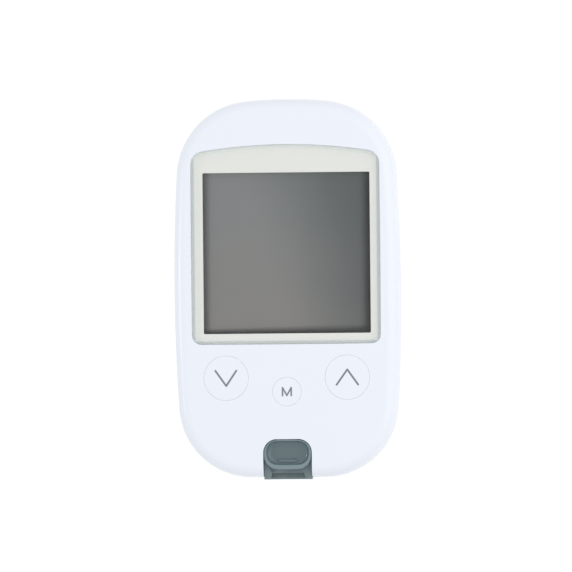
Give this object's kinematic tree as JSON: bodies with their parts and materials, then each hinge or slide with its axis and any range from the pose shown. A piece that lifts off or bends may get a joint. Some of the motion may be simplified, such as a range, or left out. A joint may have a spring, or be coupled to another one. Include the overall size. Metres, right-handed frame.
{
  "type": "blood glucose meter",
  "caption": "Hand-held blood glucose meter: rounded moulded body with a window over a recessed display, round press buttons, a strip port with a sliding ejector and a battery door in the back.",
  "frame": {"origin": "middle of the flat back, halfway along and across the body", "axes": "+X across the face to the right, +Y along the meter towards the display end, +Z out of the face; the strip port is at -Y"},
  "size_m": [0.059, 0.0988, 0.022],
  "materials": {
    "cover": "gloss",
    "button": "gloss",
    "lens": "gloss",
    "gasket": "matte",
    "bezel": "matte",
    "lcd": "satin",
    "holder": "matte",
    "elastomer": "matte",
    "board": "satin",
    "black_plastic": "matte",
    "board_parts": "satin",
    "switch": "matte",
    "port": "satin",
    "slider": "satin",
    "spring_wire": "satin",
    "connector": "matte",
    "gold_contact": "polished",
    "cell": "satin",
    "sheet_steel": "satin",
    "screw": "satin"
  },
  "bodies": {
    "body": {"front_cover": "cover", "rear_cover": "cover", "display_window": "lens", "window_gasket": "gasket", "display_bezel": "bezel", "lcd_panel": "lcd", "lcd_holder": "holder", "zebra_strip": "elastomer", "circuit_board": "board", "microcontroller": "black_plastic", "board_parts": "board_parts", "buzzer": "black_plastic", "down_switch": "switch", "memory_switch": "switch", "up_switch": "switch", "strip_port": "port", "ejector_spring": "spring_wire", "strip_connector": "connector", "connector_contacts": "gold_contact", "battery_left": "cell", "battery_right": "cell", "negative_spring": "spring_wire", "bridge_spring": "spring_wire", "negative_plate": "sheet_steel", "positive_plate": "sheet_steel", "bridge_plate": "sheet_steel", "case_screws": "screw", "board_screws": "screw"},
    "down_key": {"down_button": "button", "down_plunger": "black_plastic"},
    "memory_key": {"memory_button": "button", "memory_plunger": "black_plastic"},
    "up_key": {"up_button": "button", "up_plunger": "black_plastic"},
    "ejector": {"ejector_slider": "slider"},
    "door": {"battery_door": "cover"}
  },
  "joints": [
    {"name": "down_press", "type": "slide", "parent": "body", "child": "down_key", "axis": [0, 0, -1], "range_m": [0, 0.0005], "stiffness_N_per_m": 600},
    {"name": "memory_press", "type": "slide", "parent": "body", "child": "memory_key", "axis": [0, 0, -1], "range_m": [0, 0.0005], "stiffness_N_per_m": 600},
    {"name": "up_press", "type": "slide", "parent": "body", "child": "up_key", "axis": [0, 0, -1], "range_m": [0, 0.0005], "stiffness_N_per_m": 600},
    {"name": "eject", "type": "slide", "parent": "body", "child": "ejector", "axis": [0, -1, 0], "range_m": [0, 0.0025], "stiffness_N_per_m": 200, "deforming": ["ejector_spring"]},
    {"name": "door_swing", "type": "hinge", "parent": "body", "child": "door", "pos_m": [0, -0.0227, 0.0001], "axis": [-1, 0, 0], "range_deg": [0, 80]}
  ]
}
